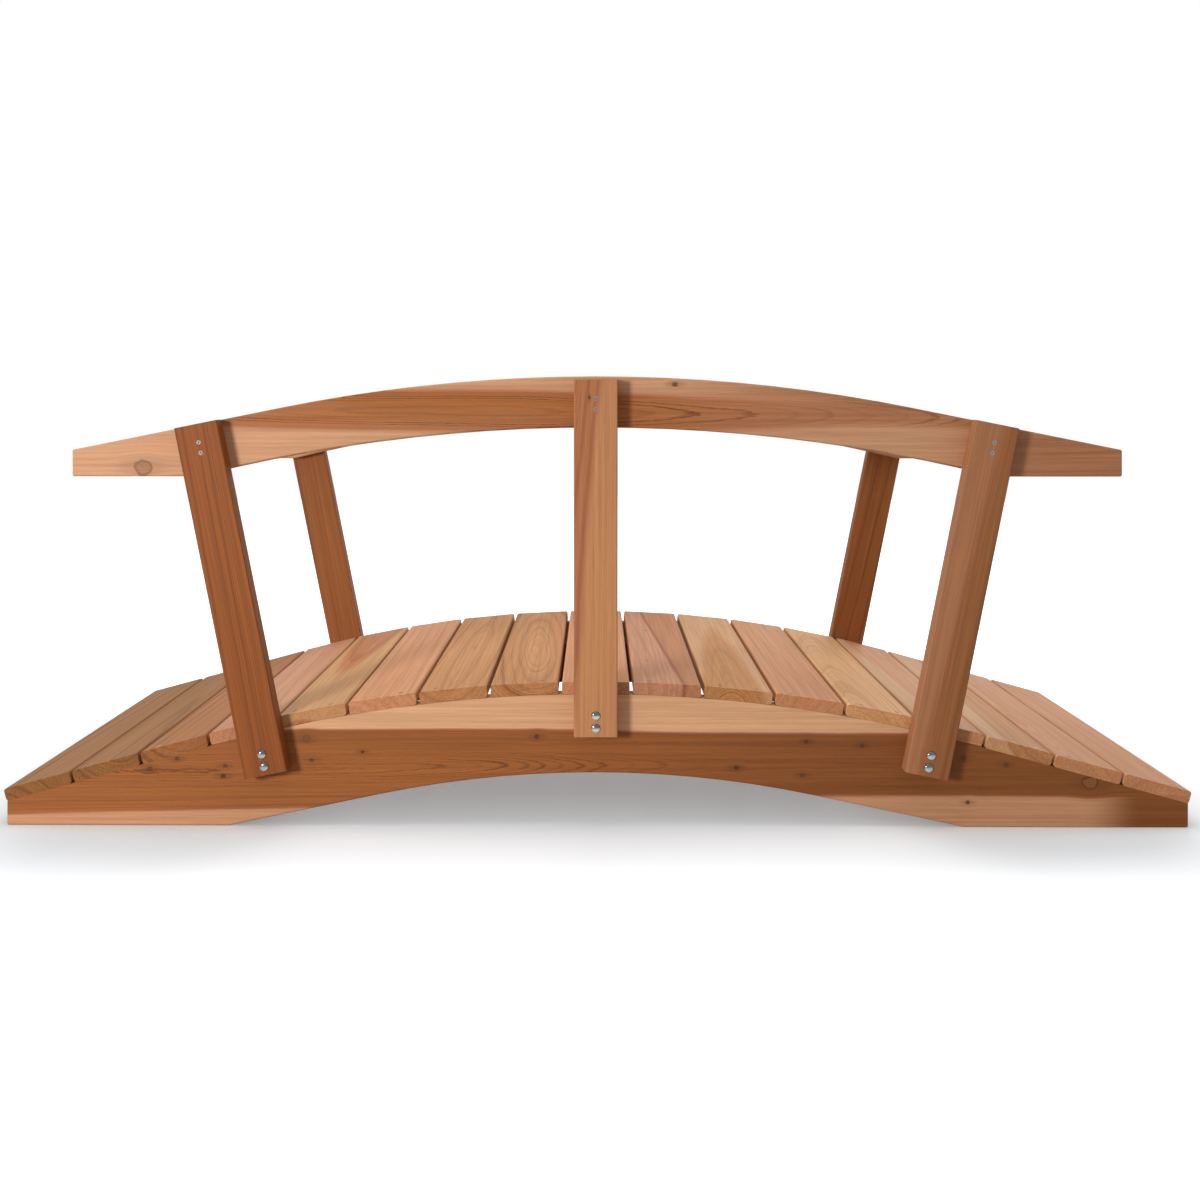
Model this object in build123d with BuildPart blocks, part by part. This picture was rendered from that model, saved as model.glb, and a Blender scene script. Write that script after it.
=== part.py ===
"""Arched garden footbridge in cedar: two sawn stringers, a deck of cross boards, six posts, two handrails.

X runs along the bridge, Y across it and Z up. The origin is on the ground, midway between the four feet.
"""

import math
import os

from build123d import *

os.makedirs("parts", exist_ok=True)

# Driving dimensions, in millimetres and degrees
bridge_length = 2438
deck_width = 914

# Stringers, sawn from planks
stringer_depth = 273
stringer_thickness = 38
stringer_top_radius = 2986
stringer_run_angle = 15.2
arch_height = 111
arch_radius = 2200
arch_run_angle = 11.8
stringer_round = 4

# Deck boards, laid across the stringers from end to end
board_count = 17
board_gap = 7
board_thickness = 25
board_round = 5
board_seat = 0.1

# Handrails, sawn from planks
rail_setback = 135.5
rail_blank_depth = 207
rail_crown_depth = 106
rail_thickness = 38
rail_top_radius = 3300
rail_run_angle = 11.4
rail_underside_radius = 3415
rail_height = 631
rail_round = 4

# Posts, bolted to the stringers' outer faces and screwed to the handrails
post_width = 89
post_thickness = 38
post_lap = 79
post_inset = 272
post_below_crown = 8
post_round = 3

# Sizes that follow from those above
half_length = bridge_length / 2
rail_reach = half_length - rail_setback
rail_crown = stringer_depth + board_thickness + rail_height
run_angle = math.radians(stringer_run_angle)
lean = math.radians(rail_run_angle)
sides = {"front": -1, "back": 1}


def arc_and_run(crown, radius, angle, reach):
    """Draw the right half of a sawn edge: an arc from the crown, then a straight run to the given reach."""
    arc = JernArc((0, crown), (1, 0), radius, -angle)
    run_reach = reach - (arc @ 1).X
    run = PolarLine(arc @ 1, run_reach, -angle, length_mode=LengthMode.HORIZONTAL)
    return run @ 1


def plank_plane(side, thickness):
    """Upright plane midway through a plank whose outer face is in line with the ends of the deck boards."""
    middle = side * (deck_width - thickness) / 2
    return Plane.XZ.offset(-middle)


def make_stringer(side):
    """Arched beam with two flat feet and a top edge that the deck boards follow."""
    with BuildPart() as stringer:
        with BuildSketch(plank_plane(side, stringer_thickness)) as outline:
            with BuildLine():
                top_end = arc_and_run(stringer_depth, stringer_top_radius, stringer_run_angle, half_length)
                foot_end = Line(top_end, (half_length, 0)) @ 1
                arch = JernArc((0, arch_height), (1, 0), arch_radius, -arch_run_angle)
                spring = arch @ 1
                foot_start = (spring.X + spring.Y / math.tan(math.radians(arch_run_angle)), 0)
                Polyline(spring, foot_start, foot_end)
                mirror(about=Plane.YZ)
            make_face()
            ends = outline.vertices().group_by(Axis.X)
            toes = [corners.sort_by(Axis.Y)[0] for corners in (ends[0], ends[-1])]
            fillet(toes, stringer_round)
        extrude(amount=stringer_thickness / 2, both=True)
        # The top stays square for the boards to bear on.
        top = stringer.faces().filter_by(lambda face: face.normal_at().Z > 0.5)
        fillet(stringer.faces().filter_by(Axis.Y).edges() - top.edges(), stringer_round)
    return stringer


def make_handrail(side):
    """Arched rail with flat undersides towards its ends."""
    with BuildPart() as rail:
        with BuildSketch(plank_plane(side, rail_thickness)) as outline:
            with BuildLine():
                top_end = arc_and_run(rail_crown, rail_top_radius, rail_run_angle, rail_reach)
                underside = rail_crown - rail_blank_depth
                rise = rail_blank_depth - rail_crown_depth
                sweep_angle = math.degrees(math.acos(1 - rise / rail_underside_radius))
                arc = JernArc((0, underside + rise), (1, 0), rail_underside_radius, -sweep_angle)
                Polyline(arc @ 1, (rail_reach, underside), top_end)
                mirror(about=Plane.YZ)
            make_face()
            ends = outline.vertices().group_by(Axis.X)
            fillet(ends[0] + ends[-1], rail_round)
        extrude(amount=rail_thickness / 2, both=True)
        fillet(rail.faces().filter_by(Axis.Y).edges(), rail_round)
    return rail


def seat_on_stringer(distance):
    """Plane on the stringers' top edge, at a distance along it from the crown: X along the edge, Z to -Y."""
    arc_length = stringer_top_radius * run_angle
    past_arc = max(0, abs(distance) - arc_length)
    angle = min(abs(distance), arc_length) / stringer_top_radius
    reach = stringer_top_radius * math.sin(angle) + past_arc * math.cos(angle)
    drop = stringer_top_radius * (1 - math.cos(angle)) + past_arc * math.sin(angle)
    turn = math.copysign(angle, distance)
    return Plane(
        origin=(math.copysign(reach, distance), 0, stringer_depth - drop),
        x_dir=(math.cos(turn), 0, -math.sin(turn)),
        z_dir=(0, -1, 0),
    )


def make_board(distance):
    """Deck board with rounded long edges, square to the stringers' top edge."""
    with BuildPart() as board:
        with BuildSketch(seat_on_stringer(distance)):
            with Locations((0, board_seat + board_thickness / 2)):
                RectangleRounded(board_width, board_thickness, board_round)
        extrude(amount=deck_width / 2, both=True)
    return board


def depth_to_stringer(x, z, angle):
    """Distance from a point above the deck, down a line that leans by the angle, to the stringers' top edge."""
    height = z - stringer_depth + stringer_top_radius
    across = x * math.sin(angle) + height * math.cos(angle)
    depth = across - math.sqrt(across**2 - x**2 - height**2 + stringer_top_radius**2)
    arc_reach = stringer_top_radius * math.sin(run_angle)
    if x - depth * math.sin(angle) > arc_reach:
        # The run is the tangent at the arc's end, at this distance from the arc's centre.
        point_along_normal = x * math.sin(run_angle) + height * math.cos(run_angle)
        depth = (point_along_normal - stringer_top_radius) / math.cos(angle - run_angle)
    return depth


def make_post(side, x, z, angle):
    """Post with its top at the given point, cut square, that laps the stringer's outer face."""
    length = depth_to_stringer(abs(x), z, abs(angle)) + post_lap
    top = (x, side * (deck_width + post_thickness) / 2, z)
    axis = (math.sin(angle), 0, math.cos(angle))
    with BuildPart() as post:
        with BuildSketch(Plane(origin=top, x_dir=(axis[2], 0, -axis[0]), z_dir=axis)):
            RectangleRounded(post_width, post_thickness, post_round)
        extrude(amount=-length)
    return post


def finish(sub_part, name):
    """Label a finished piece and write it."""
    sub_part.part.label = name
    export_step(sub_part.part, f"parts/{name}.step")


# Where the outer posts' tops meet the handrails' straight runs
rail_arc_reach = rail_top_radius * math.sin(lean)
rail_arc_drop = rail_top_radius * (1 - math.cos(lean))
outer_x = rail_reach - post_inset * math.cos(lean)
outer_z = rail_crown - rail_arc_drop - (outer_x - rail_arc_reach) * math.tan(lean)
posts = {
    "left": (-outer_x, outer_z, -lean),
    "centre": (0, rail_crown - post_below_crown, 0),
    "right": (outer_x, outer_z, lean),
}

for side_name, side in sides.items():
    finish(make_stringer(side), f"stringer_{side_name}")
    finish(make_handrail(side), f"handrail_{side_name}")
    for place, (x, z, angle) in posts.items():
        finish(make_post(side, x, z, angle), f"post_{side_name}_{place}")

# The end boards' lower edges are in line with the stringers' ends.
half_top_length = stringer_top_radius * run_angle
half_top_length += (half_length - stringer_top_radius * math.sin(run_angle)) / math.cos(run_angle)
board_pitch = (2 * half_top_length + board_gap) / board_count
board_width = board_pitch - board_gap
for number in range(board_count):
    distance = (number + 0.5) * board_pitch - half_top_length - board_gap / 2
    finish(make_board(distance), f"deck_board_{number + 1:02d}")
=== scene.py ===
"""Looks of the arched cedar footbridge: sawn cedar with its rings and knots, and zinc-plated fasteners.

Lengths are in metres. X runs along the bridge, Y across it and Z up. The photographed side faces -Y.
"""

import math

import bmesh
import bpy
from mathutils import Matrix, Vector


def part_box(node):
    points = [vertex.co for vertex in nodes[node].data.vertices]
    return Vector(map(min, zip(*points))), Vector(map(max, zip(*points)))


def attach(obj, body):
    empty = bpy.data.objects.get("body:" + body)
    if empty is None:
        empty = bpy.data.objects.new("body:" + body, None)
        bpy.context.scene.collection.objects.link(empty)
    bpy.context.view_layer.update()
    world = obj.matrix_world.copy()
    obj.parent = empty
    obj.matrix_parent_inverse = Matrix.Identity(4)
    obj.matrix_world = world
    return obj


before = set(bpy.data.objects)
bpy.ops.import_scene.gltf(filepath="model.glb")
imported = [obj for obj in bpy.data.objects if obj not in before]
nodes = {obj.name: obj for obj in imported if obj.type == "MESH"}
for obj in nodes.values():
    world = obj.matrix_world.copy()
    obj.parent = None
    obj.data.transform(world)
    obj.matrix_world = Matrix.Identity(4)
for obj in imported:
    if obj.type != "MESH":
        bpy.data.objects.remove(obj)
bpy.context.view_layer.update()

# Camera, fitted to the photograph
camera_place = (0.0008, -3.135, 0.8743)
camera_yaw = 0.0071
camera_lens = 38.945
camera_shift = (0.0109, -0.1644)

# Sizes that the looks share with the part
post_lean = math.radians(11.4)
post_width = 0.089
board_thickness = 0.025
sides = {"front": -1, "back": 1}
leans = {"left": -post_lean, "centre": 0.0, "right": post_lean}

# Fasteners: carriage bolts of 5/16 inch, with their nuts and washers, and number 8 screws
bolt_heights = (0.018, 0.0435)
bolt_head_radius = 0.0092
bolt_head_rise = 0.0046
bolt_head_rim = 0.0006
bolt_radius = 0.0039
bolt_thread_pitch = 0.00141
bolt_thread_depth = 0.0006
bolt_end = 0.013
nut_flats = 0.0127
nut_height = 0.0067
nut_chamfer = 0.0009
nut_clearance = 0.0001
washer_radius = 0.0105
washer_thickness = 0.0016
washer_clearance = 0.0006
washer_ease = 0.0002
screw_depths = (0.038, 0.060)
screw_head_radius = 0.0046
screw_head_rings = (0.0, 0.0004, 0.0008, 0.0013, 0.0018, 0.0023, 0.0028, 0.0036, 0.0043, screw_head_radius)
screw_head_depth = 0.001
screw_proud = 0.0006
recess_arm = 0.0007
recess_depth = 0.0016
recess_reach = 0.0026
recess_taper = 0.0032
deck_screw_offset = 0.037
deck_screw_inset = 0.019

# Turns of the fasteners about their own axes, in radians, so that neighbours differ
bolt_spin = 0.7
bolt_spin_by_lean = 5
post_screw_spin = 0.9
deck_screw_spin = 0.37

# Floor: its own colour, and the backdrop's white, of which it adds more as a point lies further past a box
# about the feet, which lightens the floor's shadow there as painted light. By the feet it adds less, a
# painted contact shadow, and near the arch between the feet more, painted light. Where the feet start and
# end, and the bridge's sides, are distances from the middle.
floor_radius = 9.0
floor_colour = (0.745, 0.785, 0.815, 1.0)
feet_box = (1.04, 0.38, 0.0)
white_range = (0.14, 0.70)
white_in_box = 0.3
feet_painted_shadow = -0.08
arch_painted_light = 0.09
foot_starts = (0.5, 0.9)
foot_ends = (1.05, 1.3)
beside_bridge = (0.15, 0.5)
backdrop_light = 0.36

# Lamps, each with its place, the point it faces, its width and its power in watts
lamps = {
    "key": ((-2.5, -3.7, 1.1), (0.1, 0.0, 0.4), 0.75, 137),
    "second_glint": ((2.0, -3.4, 2.0), (0.1, 0.0, 0.2), 0.12, 2.5),
    "overhead": ((-0.4, -0.2, 4.0), (0, 0, 0), 3.0, 66),
    "back_fill": ((2.5, 4.0, 2.6), (0, 0, 0.3), 2.0, 45),
}


def linear(red, green, blue):
    """Linear RGBA of a display colour given from 0 to 255."""
    shares = [value / 255 for value in (red, green, blue)]
    curve = [share / 12.92 if share <= 0.04045 else ((share + 0.055) / 1.055) ** 2.4 for share in shares]
    return (*curve, 1.0)


# Cedar tones, each with its springwood, its blush and its summerwood
tones = {
    "brown": (linear(149, 87, 41), linear(128, 74, 35), linear(94, 49, 21)),
    "russet": (linear(137, 75, 29), linear(126, 65, 25), linear(84, 39, 15)),
    "copper": (linear(153, 91, 43), linear(164, 109, 74), linear(100, 50, 22)),
    "umber": (linear(142, 89, 50), linear(150, 97, 60), linear(108, 62, 33)),
    "cinnamon": (linear(150, 90, 45), linear(140, 80, 38), linear(98, 52, 22)),
    "rose": (linear(165, 103, 66), linear(160, 96, 65), linear(118, 66, 38)),
    "olive": (linear(156, 110, 66), linear(144, 96, 56), linear(110, 70, 38)),
    "tan": (linear(172, 117, 73), linear(162, 106, 62), linear(124, 76, 42)),
    "salmon": (linear(195, 133, 94), linear(188, 124, 85), linear(146, 93, 62)),
    "dusky": (linear(203, 149, 116), linear(194, 136, 104), linear(162, 104, 76)),
    "honey": (linear(204, 147, 95), linear(196, 138, 87), linear(154, 101, 58)),
    "pink": (linear(216, 158, 117), linear(207, 145, 104), linear(176, 116, 80)),
    "golden": (linear(204, 149, 102), linear(190, 132, 86), linear(150, 95, 55)),
    "yellow": (linear(229, 178, 127), linear(222, 168, 118), linear(182, 125, 79)),
}
plank_sapwood = linear(202, 152, 112)
rail_sapwood = linear(188, 138, 102)
post_sapwood = linear(178, 121, 79)
board_sapwood = linear(212, 166, 124)
sapwood_rim = linear(158, 92, 66)
knot_dark = linear(62, 32, 14)
knot_pale = linear(140, 90, 52)
sawn_shade = (0.76, 0.67, 0.60, 1.0)

# How closely the cedar's noises repeat along, across and through the grain, in waves per metre
waves = {
    "slow": (1.6, 5.0, 5.0),
    "brisk": (9.0, 34.0, 34.0),
    "frayed": (50.0, 420.0, 420.0),
    "blotch": (1.3, 11.0, 11.0),
    "streak": (2.6, 190.0, 190.0),
    "fibre": (16.0, 950.0, 950.0),
    "speck": (120.0, 1400.0, 1400.0),
}

# Wander of the grain: two shares of a piece's own wave, and a fine fraying
slow_share = 2.0
brisk_share = 0.4
fraying = 0.0009

# Yearly rings: uneven years, and where in a year its summerwood lies
uneven_rate = 60.0
uneven_years = 2.4
summer_starts = (0.58, 0.9)
summer_ends = (0.93, 1.0)
band_rate = 95.0

# What a piece's seed moves: its place in the noises, the strength of each year, and the bands
seed_way = (1.7, 3.1, 5.3)
year_seed = 13.7
band_seed = 9.0

# Knots: the radii between which one turns from small and soft-edged to large and ringed
knot_sizes = (0.006, 0.009)
knot_ring_rate = 1500.0
knot_edge_step = 40.0

# Shine of the planks and posts, and of the duller deck
plank_gloss = 0.17
deck_gloss = 0.1


class Graph:
    """Adds shader nodes to a tree and links them, so that a formula stays short."""

    def __init__(self, tree):
        self.tree = tree

    def add(self, kind, **settings):
        node = self.tree.nodes.new(kind)
        for name, value in settings.items():
            setattr(node, name, value)
        return node

    def feed(self, socket, value):
        if isinstance(value, bpy.types.NodeSocket):
            self.tree.links.new(value, socket)
        else:
            socket.default_value = value

    def math(self, operation, *values, clamp=False):
        node = self.add("ShaderNodeMath", operation=operation, use_clamp=clamp)
        for socket, value in zip(node.inputs, values):
            self.feed(socket, value)
        return node.outputs[0]

    def vector(self, operation, *values):
        node = self.add("ShaderNodeVectorMath", operation=operation)
        for socket, value in zip(node.inputs, values):
            self.feed(socket, value)
        return node.outputs["Value" if operation in ("DOT_PRODUCT", "LENGTH") else "Vector"]

    def scale(self, vector, amount):
        node = self.add("ShaderNodeVectorMath", operation="SCALE")
        self.feed(node.inputs[0], vector)
        self.feed(node.inputs["Scale"], amount)
        return node.outputs["Vector"]

    def combine(self, x, y, z):
        node = self.add("ShaderNodeCombineXYZ")
        for socket, value in zip(node.inputs, (x, y, z)):
            self.feed(socket, value)
        return node.outputs[0]

    def separate(self, vector):
        node = self.add("ShaderNodeSeparateXYZ")
        self.feed(node.inputs[0], vector)
        return node.outputs

    def step(self, value, low, high, to_low=0.0, to_high=1.0):
        node = self.add("ShaderNodeMapRange", interpolation_type="SMOOTHSTEP")
        for socket, given in zip(node.inputs, (value, low, high, to_low, to_high)):
            self.feed(socket, given)
        return node.outputs[0]

    def mix(self, share, first, second, blend="MIX"):
        node = self.add("ShaderNodeMix", data_type="RGBA", blend_type=blend)
        for index, value in ((0, share), (6, first), (7, second)):
            self.feed(node.inputs[index], value)
        return node.outputs[2]

    def noise(self, place, stretch, detail=2.0):
        node = self.add("ShaderNodeTexNoise")
        self.feed(node.inputs["Vector"], self.vector("MULTIPLY", place, stretch))
        node.inputs["Scale"].default_value = 1.0
        node.inputs["Detail"].default_value = detail
        return node.outputs

    def line_noise(self, value, detail=1.0):
        node = self.add("ShaderNodeTexNoise", noise_dimensions="1D")
        self.feed(node.inputs["W"], value)
        node.inputs["Scale"].default_value = 1.0
        node.inputs["Detail"].default_value = detail
        return node.outputs["Fac"]

    def swing(self, place, stretch):
        """Noise in three directions, around zero."""
        return self.vector("SUBTRACT", self.noise(place, stretch)["Color"], (0.5, 0.5, 0.5))

    def bump(self, height, strength, distance):
        node = self.add("ShaderNodeBump")
        node.inputs["Strength"].default_value = strength
        node.inputs["Distance"].default_value = distance
        self.feed(node.inputs["Height"], height)
        return node.outputs[0]

    def seen(self):
        """One for a ray from the camera, and for one that a shiny or clear surface sends on."""
        ray = self.add("ShaderNodeLightPath").outputs
        sent_on = self.math("MAXIMUM", ray["Is Glossy Ray"], ray["Is Transmission Ray"])
        return self.math("MAXIMUM", ray["Is Camera Ray"], sent_on)


def new_group(name, inputs, outputs):
    """Node group with the given sockets. Gives the group, its graph, its inputs and its output node."""
    tree = bpy.data.node_groups.new(name, "ShaderNodeTree")
    for socket, kind in inputs.items():
        tree.interface.new_socket(socket, in_out="INPUT", socket_type=f"NodeSocket{kind}")
    for socket, kind in outputs.items():
        tree.interface.new_socket(socket, in_out="OUTPUT", socket_type=f"NodeSocket{kind}")
    graph = Graph(tree)
    return tree, graph, graph.add("NodeGroupInput").outputs, graph.add("NodeGroupOutput").inputs


def make_knot_group():
    """A branch through the wood: a ringed core, with the grain pushed aside around it."""
    numbers = ("Core", "Rings", "Along", "Across", "Radius", "Depth")
    inputs = {"Position": "Vector", **dict.fromkeys(numbers, "Float")}
    outputs = {"Position": "Vector", "Core": "Float", "Rings": "Float"}
    tree, graph, given, result = new_group("knot", inputs, outputs)
    radius, depth = given["Radius"], given["Depth"]
    along, across, through = graph.separate(given["Position"])
    off_along = graph.math("SUBTRACT", along, given["Along"])
    off_across = graph.math("SUBTRACT", across, given["Across"])
    away_along = graph.math("DIVIDE", off_along, radius)
    away_across = graph.math("DIVIDE", off_across, radius)

    def oval(along_share, across_share=1.0):
        """Distance from the knot's middle in its own radii, shortened by the shares."""
        short_along = graph.math("MULTIPLY", away_along, along_share)
        short_across = graph.math("MULTIPLY", away_across, across_share)
        return graph.vector("LENGTH", graph.combine(short_along, short_across, 0.0))

    edge_seed = graph.math("MULTIPLY", given["Along"], knot_edge_step)
    edge = graph.noise(graph.combine(away_along, away_across, edge_seed), (0.8, 0.8, 1.0))["Fac"]
    near = graph.math("ADD", oval(0.8), graph.math("MULTIPLY_ADD", edge, 0.9, -0.45))

    fall = graph.math("EXPONENT", graph.math("MULTIPLY", graph.math("POWER", oval(0.36, 0.5), 2.0), -1.0))
    pinch = graph.math("MULTIPLY", off_across, graph.math("MULTIPLY", fall, -0.6))
    graph.feed(result["Position"], graph.combine(along, graph.math("ADD", across, pinch), through))

    solid = graph.step(radius, *knot_sizes, 0.4, 0.9)
    core = graph.math("MULTIPLY", graph.step(near, solid, 1.25, 1.0, 0.0), depth)
    halo = graph.math("MULTIPLY", graph.step(oval(0.4), 0.6, 1.9, 0.28, 0.0), depth)
    graph.feed(result["Core"], graph.math("MAXIMUM", given["Core"], graph.math("MAXIMUM", core, halo)))

    wave = graph.math("SINE", graph.math("MULTIPLY", graph.math("MULTIPLY", near, radius), knot_ring_rate))
    within = graph.step(near, 0.7, 0.9, 1.0, 0.0)
    rings = graph.math("MULTIPLY", graph.math("MULTIPLY_ADD", wave, 0.25, 0.75), within)
    rings = graph.math("MULTIPLY", rings, graph.step(radius, *knot_sizes, 0.1, 1.0))
    graph.feed(result["Rings"], graph.math("MAXIMUM", given["Rings"], rings))
    return tree


def wandering(graph, given, place):
    """The position, moved a little so that no ring runs quite straight."""
    slow, brisk, frayed = (graph.swing(place, waves[name]) for name in ("slow", "brisk", "frayed"))
    slow = graph.scale(slow, graph.math("MULTIPLY", given["Wave"], slow_share))
    brisk = graph.scale(brisk, graph.math("MULTIPLY", given["Wave"], brisk_share))
    wander = graph.vector("ADD", graph.vector("ADD", slow, brisk), graph.scale(frayed, fraying))
    return graph.separate(graph.vector("ADD", given["Position"], wander))


def from_pith(graph, given, along, across, through):
    """Distance from the slanting, bowed pith line, and the height above it on the face."""
    past_eye = graph.math("SUBTRACT", along, given["Eye"])
    square = graph.math("MULTIPLY", past_eye, past_eye)
    pith_across = graph.math("MULTIPLY_ADD", given["Drift Across"], past_eye, given["Pith Across"])
    pith_across = graph.math("MULTIPLY_ADD", given["Sweep"], square, pith_across)
    swept = graph.math("TANH", graph.math("DIVIDE", past_eye, given["Reach"]))
    swept = graph.math("MULTIPLY", swept, given["Reach"])
    pith_through = graph.math("MULTIPLY_ADD", given["Drift Through"], swept, given["Pith Through"])
    pith_through = graph.math("SUBTRACT", pith_through, graph.math("MULTIPLY", given["Bow"], square))
    above_pith = graph.math("SUBTRACT", across, pith_across)
    past_pith = graph.math("SUBTRACT", through, pith_through)
    return graph.vector("LENGTH", graph.combine(above_pith, past_pith, 0.0)), above_pith


def yearly_rings(graph, given, radius, turned):
    """Share of dark summerwood, which is stronger in some years than in others."""
    seed = given["Seed"]
    uneven = graph.line_noise(graph.math("MULTIPLY_ADD", radius, uneven_rate, seed))
    even = graph.math("DIVIDE", radius, given["Ring"])
    years = graph.math("ADD", even, graph.math("MULTIPLY", uneven, uneven_years))
    year = graph.math("FLOOR", years)
    phase = graph.math("SUBTRACT", years, year)
    dice = graph.add("ShaderNodeTexWhiteNoise", noise_dimensions="1D")
    graph.feed(dice.inputs["W"], graph.math("ADD", year, graph.math("MULTIPLY", seed, year_seed)))
    strength = graph.math("MULTIPLY", graph.step(dice.outputs[0], 0.1, 1.0, 0.25, 1.0), given["Contrast"])
    strength = graph.math("MULTIPLY", strength, graph.math("MULTIPLY_ADD", given["End"], 2.4, 1.0))
    strength = graph.math("MULTIPLY", strength, graph.math("MULTIPLY_ADD", turned, -0.5, 1.0))
    starts = graph.step(phase, *summer_starts)
    summer = graph.math("MULTIPLY", starts, graph.step(phase, *summer_ends, 1.0, 0.0))
    return graph.math("MULTIPLY", summer, strength, clamp=True)


def heartwood(graph, given, place, radius, summer, turned):
    """Springwood with its blush and darker bands, under the summerwood's lines."""
    blotch = graph.step(graph.noise(place, waves["blotch"], 3.0)["Fac"], 0.38, 0.66, 0.0, 0.5)
    base = graph.mix(graph.math("MAXIMUM", blotch, turned), given["Spring"], given["Blush"])
    moved = graph.math("MULTIPLY", given["Seed"], band_seed)
    band = graph.line_noise(graph.math("MULTIPLY_ADD", radius, band_rate, moved), 2.0)
    band = graph.math("MULTIPLY", graph.step(band, 0.48, 0.72), given["Band"])
    return graph.mix(summer, graph.mix(band, base, given["Summer"]), given["Summer"])


def with_sapwood(graph, given, heart, summer, along, radius, above_pith):
    """Heartwood with pale sapwood outside it, and a reddish rim where they meet. Below the pith the sapwood
    shows only in part, painted shade that darkens the face towards the bottom.
    """
    pale = graph.mix(graph.math("MULTIPLY", summer, 0.35), given["Sap"], given["Blush"])
    sap_radius = graph.math("MULTIPLY_ADD", given["Sap Taper"], along, given["Sap Radius"])
    edge = graph.math("DIVIDE", graph.math("SUBTRACT", radius, sap_radius), given["Sap Edge"])
    shown_above = graph.step(along, given["Heart From"], given["Heart To"], 1.0, 0.0)
    shown_below = graph.step(along, given["Low From"], given["Low To"], 1.0, 0.0)
    below = graph.step(above_pith, -0.03, -0.01, 1.0, 0.0)
    shown = graph.math("MULTIPLY_ADD", below, graph.math("SUBTRACT", shown_below, shown_above), shown_above)
    rim = graph.math("MULTIPLY", graph.step(edge, -2.4, -0.4, 0.0, given["Rim"]), shown)
    heart = graph.mix(rim, heart, sapwood_rim)
    # Painted shade: less sapwood shows below the pith, so the face is darker towards the bottom.
    painted_shade_below_pith = graph.step(above_pith, -0.01, 0.01, given["Low Sap"], 1.0)
    shown = graph.math("MULTIPLY", painted_shade_below_pith, shown)
    return graph.mix(graph.math("MULTIPLY", graph.step(edge, -1.0, 1.0), shown), heart, pale)


def make_cedar_group():
    """Cedar, with yearly rings round a slanting pith line, so that faces and ends show the same rings."""
    numbers = (
        "Core", "Rings", "End", "Seed", "Pith Across", "Pith Through", "Drift Across", "Drift Through",
        "Bow", "Eye", "Sweep", "Reach", "Ring", "Wave", "Contrast", "Band", "Turn From", "Turn To",
        "Sap Radius", "Sap Taper", "Sap Edge", "Low Sap", "Rim",
        "Heart From", "Heart To", "Low From", "Low To",
    )
    colours = ("Spring", "Blush", "Summer", "Sap")
    inputs = {"Position": "Vector", **dict.fromkeys(numbers, "Float"), **dict.fromkeys(colours, "Color")}
    outputs = {"Color": "Color", "Roughness": "Float", "Normal": "Vector"}
    tree, graph, given, result = new_group("cedar", inputs, outputs)
    place = graph.vector("ADD", given["Position"], graph.scale(seed_way, given["Seed"]))
    along, across, through = wandering(graph, given, place)
    radius, above_pith = from_pith(graph, given, along, across, through)
    turned = graph.step(along, given["Turn From"], given["Turn To"])
    summer = yearly_rings(graph, given, radius, turned)
    wood = heartwood(graph, given, place, radius, summer, turned)
    wood = with_sapwood(graph, given, wood, summer, along, radius, above_pith)

    fibre = graph.noise(place, waves["fibre"])["Fac"]
    streak = graph.noise(place, waves["streak"], 3.0)["Fac"]
    speck = graph.noise(place, waves["speck"])["Fac"]
    fine = graph.step(fibre, 0.25, 0.75, -0.07, 0.07)
    light = graph.math("ADD", fine, graph.step(streak, 0.25, 0.75, -0.13, 0.11))
    wood = graph.scale(wood, graph.math("ADD", light, 1.0))
    wood = graph.mix(given["Core"], wood, graph.mix(given["Rings"], knot_dark, knot_pale))
    sawn = graph.mix(1.0, wood, sawn_shade, "MULTIPLY")
    sawn = graph.scale(sawn, graph.step(speck, 0.3, 0.7, 0.86, 1.1))
    graph.feed(result["Color"], graph.mix(given["End"], wood, sawn))

    rough = graph.math("MULTIPLY_ADD", fibre, 0.22, 0.5)
    rough = graph.math("MULTIPLY_ADD", given["End"], 0.16, rough)
    graph.feed(result["Roughness"], graph.math("MULTIPLY_ADD", summer, -0.08, rough))
    height = graph.math("ADD", graph.math("MULTIPLY", summer, 0.5), graph.math("MULTIPLY", fibre, 0.8))
    torn = graph.math("MULTIPLY", graph.math("MULTIPLY", speck, given["End"]), 1.2)
    graph.feed(result["Normal"], graph.bump(graph.math("ADD", height, torn), 0.5, 0.0004))
    return tree


knot_group = make_knot_group()
cedar_group = make_cedar_group()


# Grain of a piece unless it says otherwise. No piece reaches 10 m along or lies 1 m from its pith, so that
# the figure doesn't turn and no sapwood shows.
past_any_piece = 10.0
no_sapwood = 1.0
usual_grain = {
    "ring": 0.003,
    "wave": 0.006,
    "contrast": 0.5,
    "band": 0.3,
    "sap_radius": no_sapwood,
    "sap_edge": 0.004,
    "low_sap": 1.0,
    "rim": 0.15,
    "reach": past_any_piece,
    "turn_from": past_any_piece,
    "turn_to": past_any_piece + 1,
    "heart_from": past_any_piece,
    "heart_to": past_any_piece + 1,
    "low_from": past_any_piece,
    "low_to": past_any_piece + 1,
}


def pass_knots(graph, position, knots):
    """Lead a position through each knot in turn, and gather the knots' cores and rings."""
    core = rings = 0.0
    for along, across, radius, depth in knots:
        knot = graph.add("ShaderNodeGroup", node_tree=knot_group)
        given = {"Position": position, "Core": core, "Rings": rings, "Along": along, "Across": across}
        for socket, value in {**given, "Radius": radius, "Depth": depth}.items():
            graph.feed(knot.inputs[socket], value)
        position, core, rings = (knot.outputs[socket] for socket in ("Position", "Core", "Rings"))
    return position, core, rings


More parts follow.
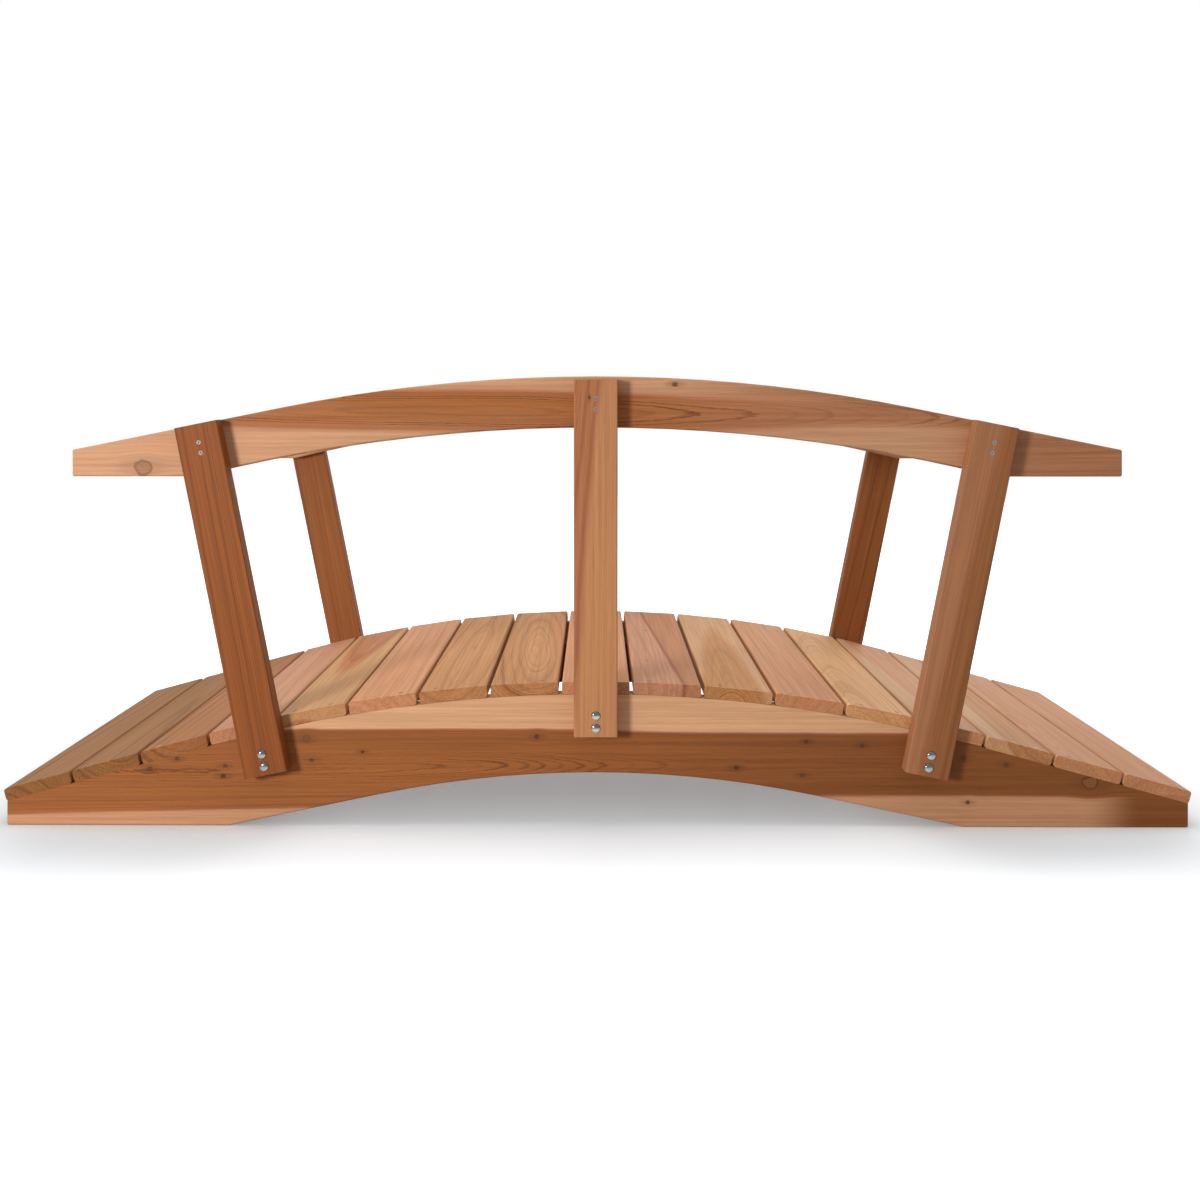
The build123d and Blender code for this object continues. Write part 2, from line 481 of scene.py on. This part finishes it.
def paint_cedar(name, centre, turn, axes, outward, tone, knots=(), gloss=plank_gloss, **grain):
    """Give a piece its cedar. The axes are its own, along the grain, across the face and through it."""
    material = bpy.data.materials.new(f"cedar_{name}")
    material.use_nodes = True
    graph = Graph(material.node_tree)
    shader = material.node_tree.nodes["Principled BSDF"]
    shader.inputs["Specular IOR Level"].default_value = gloss

    coordinates = graph.add("ShaderNodeTexCoord")
    mapping = graph.add("ShaderNodeMapping", vector_type="TEXTURE")
    graph.feed(mapping.inputs["Vector"], coordinates.outputs["Object"])
    mapping.inputs["Location"].default_value = centre
    mapping.inputs["Rotation"].default_value = (0.0, turn, 0.0)
    local = dict(zip("XYZ", graph.separate(mapping.outputs[0])))
    through = graph.math("MULTIPLY", local[axes[2]], outward)
    position = graph.combine(local[axes[0]], local[axes[1]], through)
    position, core, rings = pass_knots(graph, position, knots)

    grain_way = Matrix.Rotation(turn, 3, "Y") @ Vector([float(axis == axes[0]) for axis in "XYZ"])
    facing = graph.vector("DOT_PRODUCT", coordinates.outputs["Normal"], tuple(grain_way))
    end = graph.step(graph.math("ABSOLUTE", facing), 0.6, 0.9)

    cedar = graph.add("ShaderNodeGroup", node_tree=cedar_group)
    spring, blush, summer = tones[tone]
    values = {"Position": position, "Core": core, "Rings": rings, "End": end}
    values.update({"Spring": spring, "Blush": blush, "Summer": summer, "Sap": plank_sapwood})
    for words, value in {**usual_grain, **grain}.items():
        values[words.replace("_", " ").title()] = value
    for socket, value in values.items():
        graph.feed(cedar.inputs[socket], value)
    for socket, output in {"Base Color": "Color", "Roughness": "Roughness", "Normal": "Normal"}.items():
        graph.feed(shader.inputs[socket], cedar.outputs[output])
    for slot in nodes[name].material_slots:
        slot.material = material


def middle(node):
    """Middle of a node's box."""
    low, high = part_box(node)
    return (low + high) / 2


# Knots as (along, across, radius, darkness). Those of stringers and handrails are placed from mid-span and up
# from the ground, and those of posts and boards from the piece's own middle.
stringer_knots = (
    (-0.922, 0.117, 0.0060, 0.85), (-0.866, 0.138, 0.0055, 0.85), (-0.766, 0.124, 0.0055, 0.80),
    (-0.770, 0.103, 0.0060, 1.00), (-0.597, 0.181, 0.0075, 0.90), (-0.587, 0.136, 0.0060, 0.70),
    (-0.482, 0.153, 0.0045, 1.00), (-0.121, 0.185, 0.0060, 0.85), (0.290, 0.122, 0.0060, 0.95),
    (0.434, 0.176, 0.0050, 0.95), (0.426, 0.107, 0.0060, 0.70), (0.548, 0.168, 0.0055, 0.85),
    (0.758, 0.143, 0.0065, 0.70), (0.845, 0.129, 0.0060, 0.65), (0.766, 0.052, 0.0050, 0.85),
    (1.018, 0.092, 0.0130, 0.65),
)
rail_knots = ((-0.935, 0.740, 0.0160, 0.62), (0.163, 0.912, 0.0064, 0.85))
post_knots = ((0.327, -0.013, 0.0030, 0.90),)
board_knots = ((0.165, -0.022, 0.0040, 0.55), (-0.222, -0.032, 0.0032, 0.55))


def paint_planks():
    """Stringers and handrails, flat-sawn, so that the pith lies behind the face."""
    for side_name, side in sides.items():
        y = middle(f"stringer_{side_name}").y
        # The stringers' sapwood below the pith is held back as painted shade, darker towards the bottom.
        paint_cedar(
            f"stringer_{side_name}", (0.0, y, 0.0), 0.0, "XZY", side, "brown", knots=stringer_knots,
            seed=3.0 + side, pith_across=0.1258, pith_through=-0.026, drift_across=0.010, sweep=-0.008,
            drift_through=-0.036, eye=-0.09, reach=0.25, ring=0.0015, wave=0.0035, contrast=0.9,
            band=0.2, sap_radius=0.0868, sap_taper=-0.003, sap_edge=0.0024, low_sap=0.65, rim=0.65,
            turn_from=-0.4, turn_to=0.6, heart_from=1.0, heart_to=1.12, low_from=1.0, low_to=1.12,
        )
        paint_cedar(
            f"handrail_{side_name}", (0.0, y, 0.0), 0.0, "XZY", side, "copper", knots=rail_knots,
            seed=7.0 + side, sap=rail_sapwood, pith_across=0.857, pith_through=-0.036,
            drift_across=-0.014, bow=0.019, eye=-0.29, ring=0.0020, wave=0.003, contrast=1.0,
            band=0.15, sap_radius=0.0705, sap_edge=0.004, rim=0.3, turn_from=-0.05, turn_to=0.5,
            heart_from=0.1, heart_to=0.6, low_from=0.65, low_to=0.95,
        )


# Posts from the left, with what sets each apart. Those at the back are all of one tone, without sapwood.
post_grain = {
    "left": ("russet", {"pith_across": 0.11, "drift_across": 0.03, "contrast": 0.8}),
    "centre": ("rose", {"pith_across": -0.076, "drift_across": 0.065, "sap_radius": 0.076,
                        "sap_edge": 0.006}),
    "right": ("umber", {"pith_across": 0.11, "pith_through": -0.04, "drift_across": 0.055, "ring": 0.0024,
                        "sap": linear(158, 105, 70), "sap_radius": 0.125, "sap_edge": 0.008}),
}


def paint_posts():
    """Posts, each from its own stick."""
    for side_name, side in sides.items():
        for number, (place, lean) in enumerate(leans.items()):
            name = f"post_{side_name}_{place}"
            tone, own = post_grain[place]
            shared = {"pith_through": -0.03, "drift_through": 0.02, "ring": 0.0026, "wave": 0.009,
                      "contrast": 0.5, "band": 0.4, "sap": post_sapwood, "rim": 0.3}
            if side_name == "back":
                tone, own = "cinnamon", {**own, "sap_radius": no_sapwood}
            knots = post_knots if place == "centre" else ()
            seed = 11.0 + number + 5 * side
            paint_cedar(name, middle(name), lean, "ZXY", side, tone, knots, seed=seed, **{**shared, **own})


# Deck boards from the left, with what sets each apart
board_grain = (
    ("olive", {"pith_across": -0.10, "pith_through": -0.09, "band": 0.5}),
    ("olive", {"pith_across": 0.03, "pith_through": 0.07, "ring": 0.0040, "band": 0.7}),
    ("tan", {"pith_across": 0.05, "pith_through": 0.09, "band": 0.6}),
    ("dusky", {"pith_across": 0.12, "pith_through": -0.10}),
    ("salmon", {"pith_across": -0.01, "pith_through": -0.055, "drift_through": 0.045, "drift_across": 0.03,
                "sap_radius": 0.074, "sap_edge": 0.004, "contrast": 0.4, "sap": linear(202, 154, 108)}),
    ("pink", {"pith_across": -0.12, "pith_through": -0.10}),
    ("golden", {"pith_across": 0.01, "pith_through": 0.055, "ring": 0.0029, "wave": 0.012, "band": 0.6,
                "bow": -0.05, "eye": 0.15}),
    ("golden", {"pith_across": 0.012, "pith_through": 0.06, "ring": 0.0035, "wave": 0.010, "band": 0.7,
                "bow": -0.10, "eye": 0.04, "contrast": 0.4}),
    ("pink", {"pith_across": 0.11, "pith_through": -0.08}),
    ("dusky", {"pith_across": -0.25, "pith_through": 0.02, "drift_across": -0.066, "ring": 0.0040,
               "wave": 0.003, "contrast": 0.2, "sap": linear(190, 132, 94), "sap_radius": 0.258,
               "sap_edge": 0.005, "rim": 1.0, "knots": board_knots}),
    ("honey", {"pith_across": 0.0, "pith_through": -0.050, "drift_through": -0.045, "ring": 0.0050,
               "contrast": 0.35, "sap_radius": 0.072, "sap_edge": 0.006, "sap": linear(210, 162, 120)}),
    ("pink", {"pith_across": 0.14, "pith_through": -0.08}),
    ("yellow", {"pith_across": -0.03, "pith_through": -0.09, "drift_through": -0.05, "contrast": 0.5}),
    ("pink", {"pith_across": 0.04, "pith_through": -0.10, "contrast": 0.3, "sap_radius": 0.13}),
    ("golden", {"pith_across": 0.08, "pith_through": 0.09, "sap_radius": 0.12}),
    ("pink", {"pith_across": -0.06, "pith_through": -0.08}),
    ("pink", {"pith_across": 0.07, "pith_through": -0.09}),
)
board_names = [f"deck_board_{number + 1:02d}" for number in range(len(board_grain))]


def board_turns():
    """Tilt of each board, from the line between its neighbours."""
    middles = [middle(name) for name in board_names]
    last = len(middles) - 1
    turns = []
    for index in range(len(middles)):
        step = middles[min(index + 1, last)] - middles[max(index - 1, 0)]
        turns.append(math.atan2(-step.z, step.x))
    return turns


def paint_deck():
    """Deck boards, sawn at different places in the log."""
    for index, (name, turn) in enumerate(zip(board_names, board_turns())):
        tone, own = board_grain[index]
        shared = {"seed": 31.0 + 1.9 * index, "sap": board_sapwood, "wave": 0.008, "contrast": 0.3,
                  "drift_across": 0.03 * (-1) ** index, "drift_through": 0.02, "gloss": deck_gloss}
        paint_cedar(name, middle(name), turn, "YXZ", 1.0, tone, **{**shared, **own})


def zinc_material(name, dull, bright):
    """Zinc plate with faint cloudy wear, and a painted reflection: brighter where it faces the ground, darker
    where it faces up.
    """
    material = bpy.data.materials.new(name)
    material.use_nodes = True
    graph = Graph(material.node_tree)
    shader = material.node_tree.nodes["Principled BSDF"]
    shader.inputs["Metallic"].default_value = 1.0
    coordinates = graph.add("ShaderNodeTexCoord").outputs["Object"]
    cloud = graph.noise(coordinates, (400.0, 400.0, 400.0), 3.0)["Fac"]
    scratch = graph.noise(coordinates, (2500.0, 2500.0, 700.0), 2.0)["Fac"]
    upward = graph.separate(graph.add("ShaderNodeNewGeometry").outputs["Normal"])[2]
    # Painted reflection: the step by the normal's height lightens what faces down and darkens what faces up;
    # the cloud is wear.
    wear_and_painted_reflection = graph.math("MULTIPLY_ADD", cloud, 0.3, graph.step(upward, -0.25, 0.15, 0.8, 0.0))
    graph.feed(shader.inputs["Base Color"], graph.mix(wear_and_painted_reflection, dull, bright))
    graph.feed(shader.inputs["Roughness"], graph.math("MULTIPLY_ADD", cloud, 0.12, 0.06))
    graph.feed(shader.inputs["Normal"], graph.bump(scratch, 0.2, 0.0001))
    return material


# Each zinc's dull and bright colours are the two sides of its painted reflection.
bolt_zinc = zinc_material("bolt_zinc", linear(60, 66, 72), linear(186, 198, 192))
screw_zinc = zinc_material("screw_zinc", linear(112, 116, 116), linear(162, 164, 162))


def circle(build, radius, height, segments):
    """Ring of corners, or a single one where the radius is zero."""
    if radius == 0:
        return [build.verts.new((0, 0, height))]
    angles = [2 * math.pi * index / segments for index in range(segments)]
    return [build.verts.new((radius * math.cos(a), radius * math.sin(a), height)) for a in angles]


def finish_mesh(name, build, rings, segments, material, smooth=False):
    """Mesh with a band of faces from each ring to the next."""
    for low, high in zip(rings, rings[1:]):
        for index in range(segments):
            after = (index + 1) % segments
            corners = [low[index % len(low)], low[after % len(low)]]
            corners += [high[after % len(high)], high[index % len(high)]]
            build.faces.new(list(dict.fromkeys(corners)))
    bmesh.ops.recalc_face_normals(build, faces=build.faces)
    for face in build.faces:
        face.smooth = smooth
    mesh = bpy.data.meshes.new(name)
    build.to_mesh(mesh)
    build.free()
    mesh.materials.append(material)
    return mesh


def lathe(name, profile, segments=32):
    """Mesh turned about Z from (radius, height) points, closed where the radius is zero."""
    build = bmesh.new()
    rings = [circle(build, radius, height, segments) for radius, height in profile]
    return finish_mesh(name, build, rings, segments, bolt_zinc, smooth=True)


def bolt_mesh():
    """Carriage bolt head: a dome on a thin rim."""
    steps = 8
    dome_rise = bolt_head_rise - bolt_head_rim
    angles = [math.pi / 2 * index / steps for index in range(steps)]
    dome = [(bolt_head_radius * math.cos(a), bolt_head_rim + dome_rise * math.sin(a)) for a in angles]
    return lathe("bolt_head", [(0, 0), (bolt_head_radius, 0), *dome, (0, bolt_head_rise)])


def thread_mesh():
    """Threaded end of a bolt, seen past its nut."""
    turns = round(bolt_end / bolt_thread_pitch)
    root = bolt_radius - bolt_thread_depth
    end = turns * bolt_thread_pitch
    profile = [(0, 0)]
    for turn in range(turns):
        base = turn * bolt_thread_pitch
        profile += [(root, base), (bolt_radius, base + bolt_thread_pitch / 2)]
    return lathe("bolt_thread", [*profile, (root, end), (0, end)], segments=20)


def washer_mesh():
    """Flat washer with eased edges."""
    top = washer_thickness
    shoulder = top - washer_ease
    outer, inner = washer_radius, bolt_radius + washer_clearance
    rim = [(outer, 0), (outer, shoulder), (outer - washer_ease, top)]
    return lathe("washer", [(inner, 0), *rim, (inner + washer_ease, top), (inner, shoulder), (inner, 0)])


def nut_mesh():
    """Hexagon nut with its corners turned off."""
    build = bmesh.new()
    segments = 48
    bore = bolt_radius + nut_clearance
    flat = nut_flats / 2

    def hexagon(height, limit=math.inf):
        """Ring of corners round the six flats, no wider than the limit."""
        points = []
        for index in range(segments):
            angle = 2 * math.pi * index / segments
            within = (angle % (math.pi / 3)) - math.pi / 6
            reach = min(flat / math.cos(within), limit)
            points.append(build.verts.new((reach * math.cos(angle), reach * math.sin(angle), height)))
        return points

    rings = [circle(build, bore, 0, segments), hexagon(0, flat), hexagon(nut_chamfer)]
    rings += [hexagon(nut_height - nut_chamfer), hexagon(nut_height, flat)]
    rings += [circle(build, bore, nut_height, segments), rings[0]]
    return finish_mesh("nut", build, rings, segments, bolt_zinc)


def screw_mesh():
    """Flat screw head with a crossed recess."""
    build = bmesh.new()
    segments = 32
    rings = [circle(build, radius, screw_proud, segments) for radius in screw_head_rings]
    for radius, ring in zip(screw_head_rings, rings):
        for corner in ring:
            if min(abs(corner.co.x), abs(corner.co.y)) < recess_arm and radius < recess_reach:
                corner.co.z = screw_proud - recess_depth * (1 - radius / recess_taper)
    rings += [circle(build, radius, -screw_head_depth, segments) for radius in (screw_head_radius, 0)]
    return finish_mesh("screw_head", build, rings, segments, screw_zinc)


def place_piece(name, mesh, place, out, spin):
    """Put a fastener on a surface, with its axis along the outward way."""
    piece = bpy.data.objects.new(name, mesh)
    bpy.context.scene.collection.objects.link(piece)
    turn = Vector(out).to_track_quat("Z", "Y").to_matrix().to_4x4()
    piece.matrix_world = Matrix.Translation(place) @ turn @ Matrix.Rotation(spin, 4, "Z")
    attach(piece, "root")


def post_point(name, lean, from_bottom=None, from_top=None):
    """Point on a post's centre line, at a distance from one end."""
    low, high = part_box(name)
    centre = (low + high) / 2
    length = (high.z - low.z - post_width * abs(math.sin(lean))) / math.cos(lean)
    reach = from_bottom - length / 2 if from_top is None else length / 2 - from_top
    return centre + Vector((math.sin(lean), 0, math.cos(lean))) * reach


def add_bolts():
    """Two carriage bolts at each post's foot, with a washer and a nut inside the stringer."""
    meshes = {"bolt": bolt_mesh(), "thread": thread_mesh(), "washer": washer_mesh(), "nut": nut_mesh()}
    for side_name, side in sides.items():
        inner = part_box(f"stringer_{side_name}")[0 if side > 0 else 1].y
        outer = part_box(f"post_{side_name}_centre")[1 if side > 0 else 0].y
        for place, lean in leans.items():
            for number, height in enumerate(bolt_heights, 1):
                tail = f"{side_name}_{place}_{number}"
                point = post_point(f"post_{side_name}_{place}", lean, from_bottom=height)
                spin = bolt_spin * number + lean * bolt_spin_by_lean
                outward, inward = (0, side, 0), (0, -side, 0)
                head = (point.x, outer, point.z)
                place_piece(f"bolt_head_{tail}", meshes["bolt"], head, outward, spin)
                seat = Vector((point.x, inner, point.z))
                rise = Vector(inward) * washer_thickness
                place_piece(f"washer_{tail}", meshes["washer"], seat, inward, spin)
                place_piece(f"nut_{tail}", meshes["nut"], seat + rise, inward, spin)
                place_piece(f"bolt_thread_{tail}", meshes["thread"], seat, inward, spin)


def add_post_screws(mesh):
    """Two screws at each post's head."""
    for side_name, side in sides.items():
        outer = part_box(f"post_{side_name}_centre")[1 if side > 0 else 0].y
        for place, lean in leans.items():
            for number, depth in enumerate(screw_depths, 1):
                point = post_point(f"post_{side_name}_{place}", lean, from_top=depth)
                name = f"post_screw_{side_name}_{place}_{number}"
                spin = post_screw_spin * number + lean
                place_piece(name, mesh, (point.x, outer, point.z), (0, side, 0), spin)


def add_deck_screws(mesh):
    """Two screws at each end of each board."""
    for board, (name, turn) in enumerate(zip(board_names, board_turns()), 1):
        along = Vector((math.cos(turn), 0, -math.sin(turn)))
        up = Vector((math.sin(turn), 0, math.cos(turn)))
        centre = middle(name)
        half = (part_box(name)[1].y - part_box(name)[0].y) / 2
        rise = up * (board_thickness / 2 - screw_proud)
        for side_name, side in sides.items():
            for number, way in enumerate((-1, 1), 1):
                point = centre + along * (way * deck_screw_offset) + rise
                point.y = side * (half - deck_screw_inset)
                tail = f"{board:02d}_{side_name}_{number}"
                place_piece(f"deck_screw_{tail}", mesh, point, up, deck_screw_spin * number * board)


def glow_and_painted_shade(graph):
    """How much white the floor adds: little by the bridge, and all of it further out, which lightens the
    shadow as painted light; less by the feet, a painted contact shadow, and more near the arch, painted
    light.
    """
    place = graph.vector("ABSOLUTE", graph.add("ShaderNodeTexCoord").outputs["Object"])
    past_feet = graph.vector("MAXIMUM", graph.vector("SUBTRACT", place, feet_box), (0.0, 0.0, 0.0))
    from_middle, from_centre_line, _ = graph.separate(place)
    before_ends = graph.step(from_middle, *foot_ends, 1.0, 0.0)
    by_feet = graph.math("MULTIPLY", graph.step(from_middle, *foot_starts), before_ends)
    between_feet = graph.step(from_middle, *foot_starts, 1.0, 0.0)
    under_arch = graph.math("MULTIPLY", graph.step(from_centre_line, *beside_bridge), between_feet)
    # Painted contact shadow by the feet, and painted light near the arch between them.
    share = graph.math("MULTIPLY_ADD", by_feet, feet_painted_shadow, white_in_box)
    share = graph.math("MULTIPLY_ADD", under_arch, arch_painted_light, share)
    return graph.step(graph.vector("LENGTH", past_feet), *white_range, share, 1.0)


def floor_material():
    """Matt white that adds the backdrop's white where it is seen, with painted light and shade about the
    bridge, and is clear from below.
    """
    material = bpy.data.materials.new("floor_white")
    material.use_nodes = True
    tree = material.node_tree
    graph = Graph(tree)
    tree.nodes.remove(tree.nodes["Principled BSDF"])
    matt = graph.add("ShaderNodeBsdfDiffuse")
    matt.inputs["Color"].default_value = floor_colour
    glow = graph.add("ShaderNodeEmission")
    graph.feed(glow.inputs["Strength"], graph.math("MULTIPLY", graph.seen(), glow_and_painted_shade(graph)))
    both = graph.add("ShaderNodeAddShader")
    graph.feed(both.inputs[0], matt.outputs[0])
    graph.feed(both.inputs[1], glow.outputs[0])
    from_below = graph.add("ShaderNodeMixShader")
    graph.feed(from_below.inputs[0], graph.add("ShaderNodeNewGeometry").outputs["Backfacing"])
    graph.feed(from_below.inputs[1], both.outputs[0])
    graph.feed(from_below.inputs[2], graph.add("ShaderNodeBsdfTransparent").outputs[0])
    graph.feed(tree.nodes["Material Output"].inputs["Surface"], from_below.outputs[0])
    return material


def add_floor():
    """White floor that keeps the object's shadow, with painted light and shade about the feet, and brightens
    to the backdrop's white.
    """
    build = bmesh.new()
    bmesh.ops.create_circle(build, cap_ends=True, segments=96, radius=floor_radius)
    mesh = bpy.data.meshes.new("floor")
    build.to_mesh(mesh)
    build.free()
    mesh.materials.append(floor_material())
    floor = bpy.data.objects.new("floor", mesh)
    bpy.context.scene.collection.objects.link(floor)
    return floor


def add_world():
    """White backdrop with an even, soft light."""
    world = bpy.data.worlds.new("studio")
    bpy.context.scene.world = world
    world.use_nodes = True
    graph = Graph(world.node_tree)
    backdrop = world.node_tree.nodes["Background"].inputs
    graph.feed(backdrop["Strength"], graph.step(graph.seen(), 0.0, 1.0, backdrop_light, 1.0))
    backdrop["Color"].default_value = (1.0, 1.0, 1.0, 1.0)


def add_light(name, place, target, size, power):
    """Soft square lamp."""
    data = bpy.data.lights.new(name, "AREA")
    data.size = size
    data.energy = power
    lamp = bpy.data.objects.new(name, data)
    bpy.context.scene.collection.objects.link(lamp)
    lamp.location = place
    lamp.rotation_euler = (Vector(target) - Vector(place)).to_track_quat("-Z", "Y").to_euler()
    return lamp


def add_lights(floor):
    """Lamps, of which the key, from the left and the front, leaves the floor to the others."""
    added = {name: add_light(name, *lamp) for name, lamp in lamps.items()}
    receivers = bpy.data.collections.new("key_receivers")
    receivers.objects.link(floor)
    receivers.collection_objects[0].light_linking.link_state = "EXCLUDE"
    added["key"].light_linking.receiver_collection = receivers


def add_camera():
    """Camera fitted to the photograph."""
    data = bpy.data.cameras.new("camera")
    data.sensor_width = 36.0
    data.lens = camera_lens
    data.shift_x, data.shift_y = camera_shift
    camera = bpy.data.objects.new("camera", data)
    bpy.context.scene.collection.objects.link(camera)
    camera.location = camera_place
    camera.rotation_euler = (math.pi / 2, 0, camera_yaw)
    bpy.context.scene.camera = camera


paint_planks()
paint_posts()
paint_deck()
add_bolts()
screw_head = screw_mesh()
add_post_screws(screw_head)
add_deck_screws(screw_head)
add_lights(add_floor())
add_world()
add_camera()
bpy.context.scene.view_settings.view_transform = "Standard"
